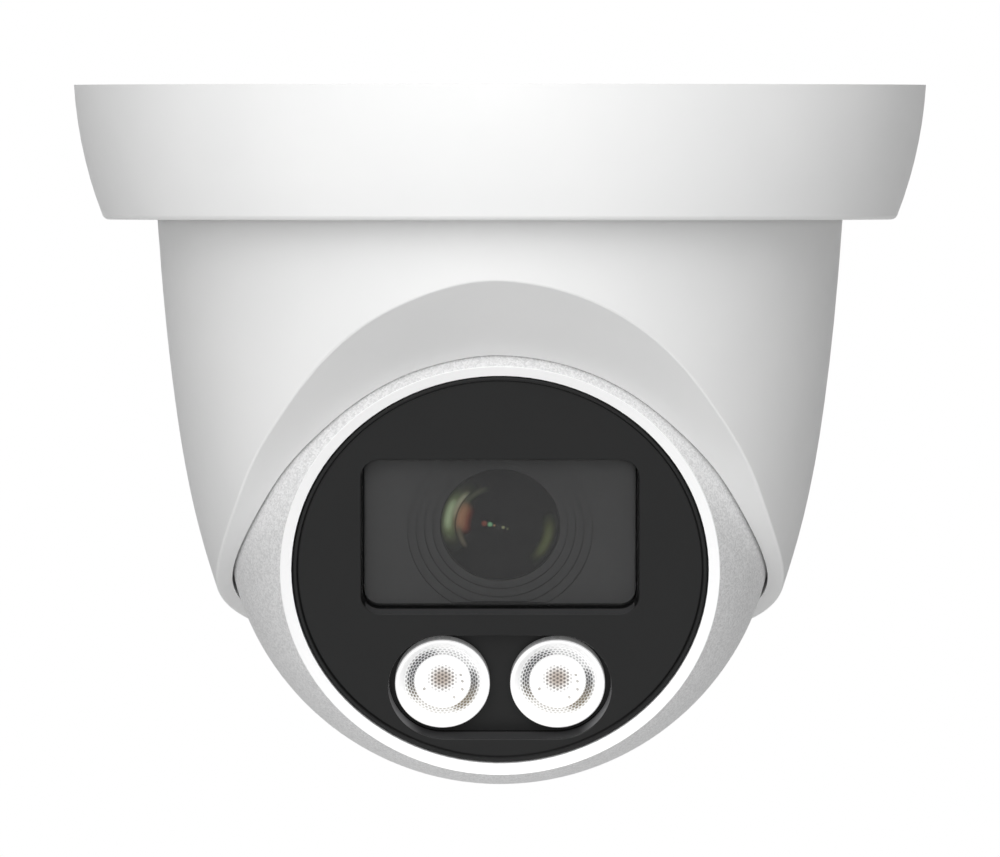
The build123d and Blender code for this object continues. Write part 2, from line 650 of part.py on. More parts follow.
def lens_lock_ring():
    outer_r = 9.6
    rear = 12.6
    front = 14.2
    nut = ring(outer_r, BARREL_THREAD_R + 0.03, rear, front)
    notch = Pos(0, 0, (rear + front) / 2) * Box(1.6, 1.4, 3)
    return on_lens_axis(nut - spread(notch, outer_r, SIXTHS))


def lens_holder():
    """Square foot over the sensor, with the filter's pocket, and the barrel's threaded tube."""
    foot_front = 7.6
    tube_front = 12.5
    low = SENSOR_BASE - PAST
    base = slab(RectangleRounded(21, 21, 2), SENSOR_BASE, foot_front)
    base += disc(9.5, foot_front - 0.6, tube_front)
    base -= disc(BARREL_THREAD_R + 0.03, 7.0, tube_front + PAST)
    base -= slab(Rectangle(16, 16), low, FILTER_REAR - 0.1)
    base -= slab(Rectangle(10.3, 10.3), low, FILTER_REAR + FILTER_T + CLEAR)
    base -= disc(4.6, low, 9)
    return on_lens_axis(base)


def ir_cut_filter():
    return on_lens_axis(slab(Rectangle(10.0, 10.0), FILTER_REAR, FILTER_REAR + FILTER_T))


def image_sensor():
    """Sensor package with the shallow well of its cover glass."""
    front = SENSOR_BASE + 1.2
    chip = slab(Rectangle(12.0, 12.0), SENSOR_BASE, front)
    chip = chamfer(chip.edges().group_by(Axis.Z)[-1], 0.2)
    return on_lens_axis(chip - slab(Rectangle(8.0, 6.4), front - 0.15, front + PAST))


# ---------------------------------------------------------------- boards
def board(low):
    """Round circuit board, notched for the shell screws and drilled for the posts."""
    high = low + BOARD_T
    outline = disc(BOARD_R, low, high)
    outline -= spread(disc(4.4, low - PAST, high + PAST), SHELL_SCREW_R, DIAGONALS)
    return outline - spread(disc(1.35, low - PAST, high + PAST), POST_R, QUARTERS)


def sensor_board():
    return OPTICS * board(SENSOR_BOARD_Z)


def main_board():
    return OPTICS * board(MAIN_BOARD_Z)


def board_standoffs():
    """Six-sided posts between the boards, their threaded ends in the front shell's posts."""
    post = slab(RegularPolygon(2.3, 6), MAIN_BOARD_FRONT, SENSOR_BOARD_Z)
    post += disc(1.25, SENSOR_BOARD_Z - PAST, 9.0)
    post -= disc(1.05, MAIN_BOARD_FRONT - PAST, MAIN_BOARD_FRONT + 5)
    return Compound(children=[OPTICS * one for one in spread(post, POST_R, QUARTERS)])


def board_screws():
    screw = flipped(cap_screw(head_r=2.0, head_h=1.5, shank_r=1.0, length=5.6, socket_r=1.1))
    placed = Pos(0, 0, MAIN_BOARD_Z) * screw
    return Compound(children=[OPTICS * one for one in spread(placed, POST_R, QUARTERS)])


def main_board_chips():
    """Processor behind the main board; memory, power and other packages on both sides."""
    def package(x, y, width, depth, height):
        """A block on the board, behind it where its height is negative."""
        face = MAIN_BOARD_FRONT if height > 0 else MAIN_BOARD_Z
        return Pos(x, y, face + height / 2) * Box(width, depth, abs(height))

    blocks = [package(0, 0, 15, 15, -PROCESSOR_H)]
    blocks += [package(x, 17.5, 9, 7, -1.2) for x in (-7, 7)]
    blocks += [package(x, -17.5, 6.5, 6.5, -3.0) for x in (-10, 0, 10)]
    blocks += [package(-17, y, 5, 4, 1.6) for y in (-9, 0, 9)]
    blocks += [Pos(16, 8, 0) * disc(3.0, MAIN_BOARD_FRONT, MAIN_BOARD_FRONT + 4.0)]
    return Compound(children=[OPTICS * block for block in blocks])


def board_connectors():
    """Plug-in sockets and the stacking connector between the two boards."""
    gap = SENSOR_BOARD_Z - MAIN_BOARD_FRONT
    stack = Pos(0, -15, MAIN_BOARD_FRONT + gap / 2) * Box(22, 3.6, gap - 2 * CLEAR)
    socket_h = 4.2
    socket = Box(9, 4.5, socket_h) - Pos(0, 0, 1.5) * Box(7.4, 3.0, 3.0)
    lift = socket_h / 2 + CLEAR
    low_socket = Pos(14, -3, MAIN_BOARD_FRONT + lift) * socket
    lamp_socket = Pos(0, -14, SENSOR_BOARD_Z + BOARD_T + lift) * socket
    return Compound(children=[OPTICS * one for one in (stack, low_socket, lamp_socket)])


def thermal_pad():
    high = MAIN_BOARD_Z - PROCESSOR_H
    return OPTICS * slab(RectangleRounded(14, 14, 1), high - PAD_T, high - CLEAR)


def heat_spreader():
    """Finned aluminium plate between the processor and the rear shell's posts."""
    front = MAIN_BOARD_Z - PROCESSOR_H - PAD_T - CLEAR
    half_width = 12.5
    trim = 20.0
    plate = disc(25.0, SPREADER_REAR, front)
    plate -= [Pos(0, side * (half_width + trim / 2), -12) * Box(60, trim, 8) for side in (-1, 1)]
    fin = Pos(0, 0, -15.0) * Box(26.0, 1.2, 3.6)
    return OPTICS * (plate + [Pos(0, y, 0) * fin for y in (-9, -6, -3, 0, 3, 6, 9)])


# ---------------------------------------------------------------- lamps
def lamp_lens(place):
    """White optic: a drum with a shallow dished front, its neck over the lamp's chip."""
    past_front = LAMP_FRONT + PAST
    dish_r = 5.6
    dish = [(0, LAMP_FRONT - 0.35), (4.6, LAMP_FRONT - 0.2), (dish_r, LAMP_FRONT),
            (dish_r, past_front), (0, past_front)]
    drum = disc(LAMP_R, LAMP_FLOOR + CLEAR, LAMP_FRONT)
    drum = fillet(drum.edges().group_by(Axis.Z)[-1], 0.3)
    drum += disc(LAMP_NECK_R, FACE_REAR - CLEAR, LAMP_FLOOR + 0.2)
    drum -= disc(2.5, LAMP_BOARD_FRONT - PAST, 19.0)
    drum -= turned(dish)
    return OPTICS * place * drum


def lamp_lens_left():
    return lamp_lens(lamp_places()[0])


def lamp_lens_right():
    return lamp_lens(lamp_places()[1])


def lamp_chips():
    """The two light-emitting packages, each a base with its domed emitter."""
    base = Pos(0, 0, LAMP_BOARD_FRONT) * Box(3.2, 3.2, 0.35, align=BASE_ALIGN)
    package = base + disc(1.25, LAMP_BOARD_FRONT + 0.3, LAMP_BOARD_FRONT + 0.6)
    return Compound(children=[OPTICS * place * package for place in lamp_places()])


def lamp_board():
    low = LAMP_BOARD_FRONT - LAMP_BOARD_T
    plate = slab(Pos(0, LAMP_Y) * SlotOverall(27.6, 9.4), low, LAMP_BOARD_FRONT)
    return OPTICS * (plate - Pos(0, LAMP_Y, 0) * disc(0.9, low - PAST, LAMP_BOARD_FRONT + PAST))


def lamp_board_screw():
    screw = flipped(cap_screw(head_r=1.5, head_h=0.9, shank_r=0.75, length=2.6, socket_r=0.8))
    return OPTICS * Pos(0, LAMP_Y, LAMP_BOARD_FRONT - LAMP_BOARD_T) * screw


SUB_PARTS = [
    mounting_plate, ceiling_gasket, cable_grommet, flange_cover, flange_screws, pan_bearing_ring,
    pan_lock_screw, turret_housing, friction_pads, retaining_ring, retaining_screws, pressure_ring,
    wave_spring, ball_front_shell, ball_rear_shell, shell_seal, shell_screws, collar_clip,
    cable_gland, gland_nut, face_plate, face_gasket, face_screws, lens_window, lens_baffle,
    window_seal, lens_barrel, lens_front_element, lens_rear_element, lens_lock_ring, lens_holder,
    ir_cut_filter, image_sensor, sensor_board, main_board, board_standoffs, board_screws,
    main_board_chips, board_connectors, thermal_pad, heat_spreader, lamp_lens_left,
    lamp_lens_right, lamp_chips, lamp_board, lamp_board_screw,
]

os.makedirs("parts", exist_ok=True)
for make in SUB_PARTS:
    export_step(make(), f"parts/{make.__name__}.step")
for make in (swivel_collar, collar_washer):
    export_step(OPTICS * make(), f"parts/{make.__name__}.step")
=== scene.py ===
import json
import math
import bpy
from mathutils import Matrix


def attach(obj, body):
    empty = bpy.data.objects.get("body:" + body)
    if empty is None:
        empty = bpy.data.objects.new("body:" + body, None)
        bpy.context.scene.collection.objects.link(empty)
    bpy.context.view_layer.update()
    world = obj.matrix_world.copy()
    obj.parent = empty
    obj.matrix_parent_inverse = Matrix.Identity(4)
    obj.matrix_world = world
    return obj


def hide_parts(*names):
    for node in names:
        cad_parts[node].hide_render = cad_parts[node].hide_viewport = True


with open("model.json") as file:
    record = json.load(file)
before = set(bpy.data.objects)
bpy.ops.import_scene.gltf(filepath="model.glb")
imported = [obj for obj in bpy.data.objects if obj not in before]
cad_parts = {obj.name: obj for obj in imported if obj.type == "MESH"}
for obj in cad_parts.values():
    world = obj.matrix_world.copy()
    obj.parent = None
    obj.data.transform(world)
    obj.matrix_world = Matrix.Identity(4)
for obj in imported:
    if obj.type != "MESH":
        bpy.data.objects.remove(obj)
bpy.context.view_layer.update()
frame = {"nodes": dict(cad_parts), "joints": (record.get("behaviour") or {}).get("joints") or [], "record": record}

from types import SimpleNamespace

import bpy
import numpy as np
from mathutils import Matrix, Vector

# ---------------------------------------------------------------- the frame's places
JOINTS = {joint["name"]: joint for joint in frame["joints"]}
CENTRE = Vector(JOINTS["roll"]["pos_m"])          # centre of the ball
LOOK = Vector(JOINTS["roll"]["axis"]).normalized()  # optical axis, out of the face
RIGHT = Vector((1, 0, 0))
UP = LOOK.cross(RIGHT)                             # up along the face
MM = 0.001
NODES = frame["nodes"]


# ---------------------------------------------------------------- node helpers
class Paint:
    """A material under construction: its nodes, its shader and short ways to add to them."""

    def __init__(self, name):
        self.material = bpy.data.materials.new(name)
        self.material.use_nodes = True
        self.tree = self.material.node_tree
        self.shader = self.tree.nodes["Principled BSDF"]
        self.output = self.tree.nodes["Material Output"]
        self.place = self.tree.nodes.new("ShaderNodeTexCoord").outputs["Object"]

    def add(self, kind, **settings):
        node = self.tree.nodes.new(kind)
        for key, value in settings.items():
            setattr(node, key, value)
        return node

    def wire(self, start, end):
        self.tree.links.new(start, end)

    def set(self, **values):
        for key, value in values.items():
            self.shader.inputs[key.replace("_", " ")].default_value = value

    def noise(self, scale, detail=4.0, rough=0.5, place=None):
        node = self.add("ShaderNodeTexNoise")
        node.inputs["Scale"].default_value = scale
        node.inputs["Detail"].default_value = detail
        node.inputs["Roughness"].default_value = rough
        self.wire(place or self.place, node.inputs["Vector"])
        return node.outputs["Fac"]

    def cells(self, scale, place):
        """Outputs of a pattern of scattered cells."""
        node = self.add("ShaderNodeTexVoronoi", feature="F1")
        node.inputs["Scale"].default_value = scale
        self.wire(place, node.inputs["Vector"])
        return node.outputs

    def math(self, operation, first, second=0.0, clamp=False):
        node = self.add("ShaderNodeMath", operation=operation, use_clamp=clamp)
        for socket, value in zip(node.inputs, (first, second)):
            if isinstance(value, (int, float)):
                socket.default_value = value
            else:
                self.wire(value, socket)
        return node.outputs[0]

    def vector(self, operation, first, second, output="Vector"):
        node = self.add("ShaderNodeVectorMath", operation=operation)
        for socket, value in zip(node.inputs, (first, second)):
            if isinstance(value, (tuple, list, Vector)):
                socket.default_value = tuple(value)
            else:
                self.wire(value, socket)
        return node.outputs[output]

    def span(self, value, low, high, out_low=0.0, out_high=1.0):
        """Value remapped, held at both ends, with soft shoulders."""
        node = self.add("ShaderNodeMapRange", interpolation_type="SMOOTHSTEP")
        self.wire(value, node.inputs["Value"])
        ends = {"From Min": low, "From Max": high, "To Min": out_low, "To Max": out_high}
        for name, number in ends.items():
            node.inputs[name].default_value = number
        return node.outputs["Result"]

    def mix(self, factor, first, second):
        node = self.add("ShaderNodeMix", data_type="RGBA")
        for socket, value in zip((node.inputs[0], node.inputs[6], node.inputs[7]), (factor, first, second)):
            if isinstance(value, (int, float)):
                socket.default_value = value
            elif isinstance(value, (tuple, list)):
                socket.default_value = (*value[:3], 1.0)
            else:
                self.wire(value, socket)
        return node.outputs[2]

    def colour(self, source):
        self.wire(source, self.shader.inputs["Base Color"])

    def roughness(self, source):
        self.wire(source, self.shader.inputs["Roughness"])

    def far(self, first, second):
        """Length of a pair of numbers."""
        squares = self.math("MULTIPLY", first, first), self.math("MULTIPLY", second, second)
        return self.math("SQRT", self.math("ADD", *squares))

    def total(self, *values):
        result = values[0]
        for value in values[1:]:
            result = self.math("ADD", result, value)
        return result

    def product(self, *values):
        result = values[0]
        for value in values[1:]:
            result = self.math("MULTIPLY", result, value)
        return result

    def bump(self, height, strength, distance):
        node = self.add("ShaderNodeBump")
        node.inputs["Strength"].default_value = strength
        node.inputs["Distance"].default_value = distance
        self.wire(height, node.inputs["Height"])
        self.wire(node.outputs["Normal"], self.shader.inputs["Normal"])


# ---------------------------------------------------------------- camera
VIEW_WIDTH = 0.1432                 # metres across the picture, at the object
LENS_MM = 1000.0                    # long, so that the object stands almost without perspective
SENSOR_MM = 36.0
CAMERA_Z = -0.010
AIM_Z = -0.0492


def make_camera():
    data = bpy.data.cameras.new("camera")
    data.lens = LENS_MM
    data.sensor_width = SENSOR_MM
    data.clip_start = 0.1
    data.clip_end = 60.0
    camera = bpy.data.objects.new("camera", data)
    bpy.context.scene.collection.objects.link(camera)
    distance = VIEW_WIDTH * LENS_MM / SENSOR_MM
    camera.location = (0, -distance, CAMERA_Z)
    aim = Vector((0, 0, AIM_Z)) - camera.location
    camera.rotation_euler = aim.to_track_quat("-Z", "Y").to_euler()
    bpy.context.scene.camera = camera


make_camera()


# ---------------------------------------------------------------- places along the optical axis
FACE = Matrix((
    (RIGHT.x, UP.x, LOOK.x, CENTRE.x),
    (RIGHT.y, UP.y, LOOK.y, CENTRE.y),
    (RIGHT.z, UP.z, LOOK.z, CENTRE.z),
    (0, 0, 0, 1),
))


def optical_box(node):
    """A node's lowest and highest corner, measured across, up and out along the face."""
    inverse = FACE.inverted()
    points = [inverse @ vertex.co for vertex in NODES[node].data.vertices]
    return Vector(map(min, zip(*points))), Vector(map(max, zip(*points)))


FACE_HIGH = optical_box("face_plate")[1]
SHELL_HIGH = optical_box("ball_front_shell")[1]
FACE_R = FACE_HIGH.x
FACE_FRONT = FACE_HIGH.z
FACE_FLAT = FACE_FRONT - 0.4 * MM                  # behind the face's raised rim
WINDOW_HALF = optical_box("lens_window")[1].x
BAFFLE_STEPS = (9.65 * MM, 10.8 * MM, 12.0 * MM, 13.2 * MM)   # rings stepped down round the lens
LIP_FRONT = SHELL_HIGH.z
BALL_R = SHELL_HIGH.x
LIP_R = math.sqrt(BALL_R**2 - LIP_FRONT**2)
LENS_LOW, LENS_HIGH = optical_box("lens_front_element")
LENS_Y = (LENS_LOW.y + LENS_HIGH.y) / 2
LENS_R = LENS_HIGH.x
LAMP_LOW, LAMP_HIGH = optical_box("lamp_lens_right")
LAMP_X = (LAMP_LOW.x + LAMP_HIGH.x) / 2
LAMP_Y = (LAMP_LOW.y + LAMP_HIGH.y) / 2
LAMP_R = (LAMP_HIGH.x - LAMP_LOW.x) / 2
LAMP_FRONT = LAMP_HIGH.z
LAMP_FLOOR = LAMP_FRONT - 1.9 * MM                 # floor of the lamps' recess


def optics(paint):
    """Sockets for a point's place on the face: its vector, and across, up, out and radius."""
    offset = paint.vector("SUBTRACT", paint.place, CENTRE)
    across = paint.vector("DOT_PRODUCT", offset, RIGHT, "Value")
    up = paint.vector("DOT_PRODUCT", offset, UP, "Value")
    out = paint.vector("DOT_PRODUCT", offset, LOOK, "Value")
    join = paint.add("ShaderNodeCombineXYZ")
    for socket, value in zip(join.inputs, (across, up, out)):
        paint.wire(value, socket)
    radius = paint.far(across, up)
    return SimpleNamespace(place=join.outputs[0], across=across, up=up, out=out, radius=radius)


# ---------------------------------------------------------------- materials
def white_plastic(name, low, high):
    """Fine-textured white moulding, a little uneven in tone and gloss."""
    paint = Paint(name)
    tone = paint.noise(28, 3)
    grain = paint.noise(2600, 3, 0.6)
    paint.colour(paint.mix(paint.span(tone, 0.35, 0.65), low, high))
    paint.roughness(paint.span(paint.noise(420, 4), 0.3, 0.7, 0.46, 0.58))
    paint.bump(grain, 0.10, 0.04 * MM)
    paint.set(Specular_IOR_Level=0.5)
    return paint.material


def silver_paint():
    """Speckled silver-white paint on the ball, with a smooth turned lip round the face."""
    paint = Paint("silver_paint")
    face = optics(paint)
    speckle = paint.cells(4200, face.place)["Color"]
    grain = paint.vector("DOT_PRODUCT", speckle, (0.34, 0.33, 0.33), "Value")
    clouds = paint.noise(5200, 2, 0.7, face.place)
    flakes = paint.math("ADD", paint.math("MULTIPLY", grain, 0.6), paint.math("MULTIPLY", clouds, 0.4))
    skin = paint.mix(paint.span(flakes, 0.3, 0.7), (0.675, 0.675, 0.677), (0.865, 0.865, 0.867))
    lip = paint.math("MULTIPLY", paint.span(face.out, LIP_FRONT - 0.55 * MM, LIP_FRONT - 0.45 * MM),
                     paint.span(face.radius, LIP_R + 0.10 * MM, LIP_R + 0.02 * MM))
    paint.colour(paint.mix(lip, skin, (0.99, 0.99, 0.99)))
    paint.roughness(paint.span(lip, 0, 1, 0.50, 0.30))
    paint.bump(paint.math("MULTIPLY", flakes, paint.span(lip, 0, 1, 1, 0)), 0.35, 0.06 * MM)
    paint.set(Metallic=0.12, Specular_IOR_Level=0.4)
    return paint.material


# Painted light and shade for the recesses' walls: shadow black where they lie in shade, a lighter tone and a grey
# where light falls on them.
SHADOW_BLACK = (0.003, 0.003, 0.003)
PAINTED_LIT_WALL = (0.042, 0.042, 0.043)
PAINTED_LIT_LAMP_END = (0.24, 0.24, 0.245)


def recess_walls(paint, face):
    """Colour of the recesses' walls, and how far a point is on one.

    They are polished and painted lighter near the front, painted shadow black below and on the window's upright
    sides, and the ends beside the lamps are painted lit.
    """
    beside = paint.math("ABSOLUTE", face.across)
    lamps = paint.span(face.up, LAMP_Y + 1.45 * LAMP_R, LAMP_Y + 1.25 * LAMP_R)
    near_window = paint.span(face.out, FACE_FLAT - 1.45 * MM, FACE_FLAT - 1.25 * MM)
    over_floor = paint.span(face.out, LAMP_FLOOR + 0.3 * MM, LAMP_FLOOR + 0.8 * MM)
    lit = paint.math("MAXIMUM", near_window, paint.product(lamps, over_floor))
    upright = paint.product(paint.span(beside, WINDOW_HALF - 0.3 * MM, WINDOW_HALF),
                            paint.span(lamps, 0.6, 0.4))
    end = paint.product(paint.span(beside, LAMP_X + 0.4 * LAMP_R, LAMP_X + LAMP_R), lamps)
    # Painted light on the lamps' ends and the walls near the front, painted shadow on the window's upright sides
    # and deep down.
    look = paint.mix(end, PAINTED_LIT_WALL, PAINTED_LIT_LAMP_END)
    look = paint.mix(upright, look, SHADOW_BLACK)
    look = paint.mix(lit, SHADOW_BLACK, look)
    behind_front = paint.span(face.out, FACE_FLAT - 0.06 * MM, FACE_FLAT - 0.20 * MM)
    off_floor = paint.span(face.out, LAMP_FLOOR + 0.02 * MM, LAMP_FLOOR + 0.10 * MM)
    return look, paint.product(behind_front, off_floor)


def black_face():
    """Satin black moulding, slightly uneven in gloss, with painted shade in the groove of its rim and along its
    outer edge, and painted light and shade on its recesses' walls.
    """
    paint = Paint("black_face")
    face = optics(paint)
    walls, on_wall = recess_walls(paint, face)
    look = paint.mix(paint.noise(60, 3, 0.5, face.place), (0.0130, 0.0132, 0.0133), (0.0150, 0.0152, 0.0153))
    # Painted shade: near black in the groove of the rim and in the gap along the outer edge.
    from_groove = paint.math("ABSOLUTE", paint.math("SUBTRACT", face.radius, FACE_R - 0.8 * MM))
    groove = paint.span(from_groove, 0.16 * MM, 0.06 * MM)
    edge = paint.span(face.radius, FACE_R - 0.16 * MM, FACE_R - 0.04 * MM)
    look = paint.mix(paint.math("MAXIMUM", groove, edge), look, (0.002, 0.002, 0.002))
    paint.colour(paint.mix(on_wall, look, walls))
    gloss = paint.span(paint.noise(900, 3, 0.6, face.place), 0.3, 0.7, 0.30, 0.38)
    paint.roughness(paint.math("SUBTRACT", gloss, paint.math("MULTIPLY", on_wall, 0.14)))
    paint.bump(paint.noise(3000, 3, 0.6, face.place), 0.05, 0.03 * MM)
    paint.set(Specular_IOR_Level=0.24)
    return paint.material


def black_inner():
    """Matt black moulding round the lens, seen through the smoked window, with painted shade in a dark line at
    each step of its rings.
    """
    paint = Paint("black_inner")
    face = optics(paint)
    look = paint.mix(paint.noise(300, 3, 0.5, face.place), (0.086, 0.086, 0.087), (0.094, 0.094, 0.095))
    reach = paint.far(face.across, paint.math("SUBTRACT", face.up, LENS_Y))
    # Painted shade: a dark line where each ring steps down.
    for step in BAFFLE_STEPS:
        off = paint.math("ABSOLUTE", paint.math("SUBTRACT", reach, step))
        line = paint.math("MULTIPLY", paint.span(off, 0.11 * MM, 0.04 * MM), 0.6)
        look = paint.mix(line, look, (0.02, 0.02, 0.02))
    paint.colour(look)
    paint.roughness(paint.span(paint.noise(1500, 3, 0.5, face.place), 0.3, 0.7, 0.55, 0.7))
    paint.bump(paint.noise(4000, 2, 0.5, face.place), 0.08, 0.03 * MM)
    return paint.material


def smoked_window():
    """Smoked window: mostly see-through, with a grey cast of its own."""
    paint = Paint("smoked_window")
    paint.set(Roughness=0.06, IOR=1.45, Specular_IOR_Level=0.2)
    paint.colour(paint.mix(paint.noise(200, 2), (0.060, 0.060, 0.060), (0.064, 0.064, 0.064)))
    paint.wire(paint.span(paint.noise(90, 2), 0.3, 0.7, 0.29, 0.31), paint.shader.inputs["Alpha"])
    return paint.material


def optical_glass():
    """Plain coated glass, dark from inside the barrel."""
    paint = Paint("optical_glass")
    paint.set(Roughness=0.03, IOR=1.5)
    paint.colour(paint.mix(paint.noise(200, 2), (0.020, 0.020, 0.021), (0.024, 0.024, 0.025)))
    return paint.material


# Painted reflections: the glints of the lens coatings.  Bearings in degrees from the right, radii as parts of the
# lens's.
# Crescents: bearing, half spread, radius, half width, colour.
CRESCENTS = [
    (165, 58, 0.82, 0.24, (0.080, 0.090, 0.044)),
    (168, 38, 0.87, 0.17, (0.30, 0.38, 0.18)),
    (167, 24, 0.88, 0.10, (0.72, 0.92, 0.55)),
    (152, 26, 0.79, 0.09, (0.62, 0.64, 0.42)),
    (132, 34, 0.71, 0.080, (0.11, 0.12, 0.07)),
    (170, 30, 0.59, 0.13, (0.30, 0.05, 0.022)),
    (166, 30, 0.675, 0.150, (0.66, 0.34, 0.18)),
    (197, 22, 0.69, 0.070, (0.22, 0.19, 0.12)),
    (-18, 40, 0.83, 0.15, (0.12, 0.14, 0.05)),
    (-20, 26, 0.83, 0.10, (0.20, 0.23, 0.09)),
]
# Painted reflection spots: across, up, radius, colour.
SPOTS = [
    (-0.263, 0.048, 0.070, (0.42, 0.10, 0.06)), (-0.166, 0.033, 0.060, (0.42, 0.95, 0.50)),
    (-0.094, 0.015, 0.028, (0.80, 0.50, 0.25)), (0.054, -0.021, 0.040, (0.45, 0.50, 0.22)),
    (0.130, -0.048, 0.034, (0.22, 0.26, 0.14)),
]


GROOVE_REACH = 0.755                 # fine dark ring in the left of the glass, as parts of the radius


def glass_painted_glints():
    """Front glass of the lens: nearly black, with painted reflections for the soft coloured glints of its
    coatings.
    """
    paint = Paint("glass_painted_glints")
    paint.set(Roughness=0.03, IOR=1.5)
    face = optics(paint)
    right = paint.math("MULTIPLY", face.across, 1 / LENS_R)
    high = paint.math("MULTIPLY", paint.math("SUBTRACT", face.up, LENS_Y), 1 / LENS_R)
    reach = paint.far(right, high)
    look = paint.mix(paint.noise(200, 2), (0.006, 0.006, 0.006), (0.010, 0.010, 0.010))
    # Each crescent and spot is a painted reflection.
    for bearing, spread, middle, width, tint in CRESCENTS:
        side, rise = math.cos(math.radians(bearing)), math.sin(math.radians(bearing))
        along = paint.total(paint.math("MULTIPLY", right, side), paint.math("MULTIPLY", high, rise))
        turn = paint.math("DIVIDE", along, reach)
        near = paint.math("POWER", paint.span(turn, math.cos(math.radians(spread)), 1), 1.6)
        off = paint.math("ABSOLUTE", paint.math("SUBTRACT", reach, middle))
        look = paint.mix(paint.product(near, paint.span(off, width, 0)), look, tint)
    for side, rise, size, tint in SPOTS:
        off = paint.far(paint.math("SUBTRACT", right, side), paint.math("SUBTRACT", high, rise))
        look = paint.mix(paint.span(off, size, size * 0.2), look, tint)
    left = paint.span(right, -0.25, -0.45)
    from_groove = paint.math("ABSOLUTE", paint.math("SUBTRACT", reach, GROOVE_REACH))
    groove = paint.span(from_groove, 0.016, 0.004)
    paint.colour(paint.mix(paint.product(left, groove, 0.8), look, (0.01, 0.01, 0.01)))
    return paint.material


def brushed(name, low, high, rough=(0.28, 0.42), metallic=1.0, stretch=(1, 1, 14)):
    """Metal with fine drawn lines and a slightly uneven polish."""
    paint = Paint(name)
    mapping = paint.add("ShaderNodeMapping")
    mapping.inputs["Scale"].default_value = stretch
    paint.wire(paint.place, mapping.inputs["Vector"])
    lines = paint.noise(900, 3, 0.6, mapping.outputs[0])
    paint.colour(paint.mix(lines, low, high))
    paint.roughness(paint.span(paint.noise(240, 3), 0.3, 0.7, *rough))
    paint.bump(lines, 0.12, 0.02 * MM)
    paint.set(Metallic=metallic)
    return paint.material


def cast_alloy():
    """Die-cast metal with a coarse grain and uneven polish."""
    paint = Paint("cast_alloy")
    grain = paint.noise(1400, 4, 0.6)
    paint.colour(paint.mix(grain, (0.42, 0.43, 0.44), (0.60, 0.61, 0.62)))
    paint.roughness(paint.span(paint.noise(300, 3), 0.3, 0.7, 0.42, 0.6))
    paint.bump(grain, 0.35, 0.08 * MM)
    paint.set(Metallic=0.85)
    return paint.material


def moulded(name, low, high, rough=(0.5, 0.65), grain=1200, bump=0.15):
    """Plain moulded plastic or rubber with a fine grain."""
    paint = Paint(name)
    paint.colour(paint.mix(paint.noise(60, 4), low, high))
    paint.roughness(paint.span(paint.noise(grain / 2, 3), 0.3, 0.7, *rough))
    paint.bump(paint.noise(grain, 3, 0.6), bump, 0.05 * MM)
    return paint.material


def circuit_board():
    """Green solder mask with faint tracks and small bright pads."""
    paint = Paint("circuit_board")
    face = optics(paint)
    brick = paint.add("ShaderNodeTexBrick")
    brick.inputs["Scale"].default_value = 420
    brick.inputs["Mortar Size"].default_value = 0.06
    paint.wire(face.place, brick.inputs["Vector"])
    tracks = paint.mix(brick.outputs["Fac"], (0.010, 0.10, 0.035), (0.016, 0.17, 0.06))
    pads = paint.span(paint.cells(520, face.place)["Distance"], 0.22, 0.16)
    paint.colour(paint.mix(pads, tracks, (0.62, 0.60, 0.52)))
    paint.roughness(paint.span(paint.noise(300, 2), 0.3, 0.7, 0.28, 0.4))
    paint.bump(brick.outputs["Fac"], 0.15, 0.04 * MM)
    return paint.material


def lamp_yellow():
    """Grainy yellow phosphor on the lamps' chips."""
    paint = Paint("lamp_yellow")
    paint.colour(paint.mix(paint.noise(2500, 3), (0.80, 0.62, 0.10), (0.90, 0.74, 0.20)))
    paint.roughness(paint.span(paint.noise(900, 2), 0.3, 0.7, 0.3, 0.45))
    paint.bump(paint.noise(5000, 2), 0.1, 0.02 * MM)
    return paint.material


def filter_glass():
    """Thin blue-green filter in front of the sensor."""
    paint = Paint("filter_glass")
    paint.colour(paint.mix(paint.noise(150, 2), (0.30, 0.62, 0.58), (0.36, 0.68, 0.66)))
    paint.roughness(paint.span(paint.noise(300, 2), 0.3, 0.7, 0.04, 0.08))
    paint.set(Alpha=0.45)
    return paint.material


# The lamps' optics: a ring of facets in staggered rows, and a field of small domes in the middle.
FACET_COLUMNS = 48
FACET_ROWS = 4
FACET_INNER = 0.60 * LAMP_R
FACET_OUTER = 0.80 * LAMP_R
FACET_ROW = (FACET_OUTER - FACET_INNER) / FACET_ROWS
FACET_COLUMN = math.tau / FACET_COLUMNS
DOT_PITCH = 0.575 * MM
DOT_FIELD = 0.35 * LAMP_R
# Single painted-shade dots outside the field: across and up, as parts of the lamp's radius.
STRAY_DOTS = [(0.386, 0.085), (0.42, -0.05), (0.42, -0.22), (0.247, -0.40), (-0.383, -0.22)]
# Painted shade on the facets: the bearings of its upper-left and lower-right arcs.
SHADE_BEARING = math.radians(158)    # the facets are darkest here and lower right
LOWER_SHADE_BEARING = math.radians(-22)


def cell_offset(paint, value, size, shift):
    """How far a value is from the middle of its cell, in rows of cells of a size."""
    cell = paint.math("FRACT", paint.math("ADD", paint.math("MULTIPLY", value, 1 / size), shift))
    return paint.math("MULTIPLY", paint.math("SUBTRACT", cell, 0.5), size)


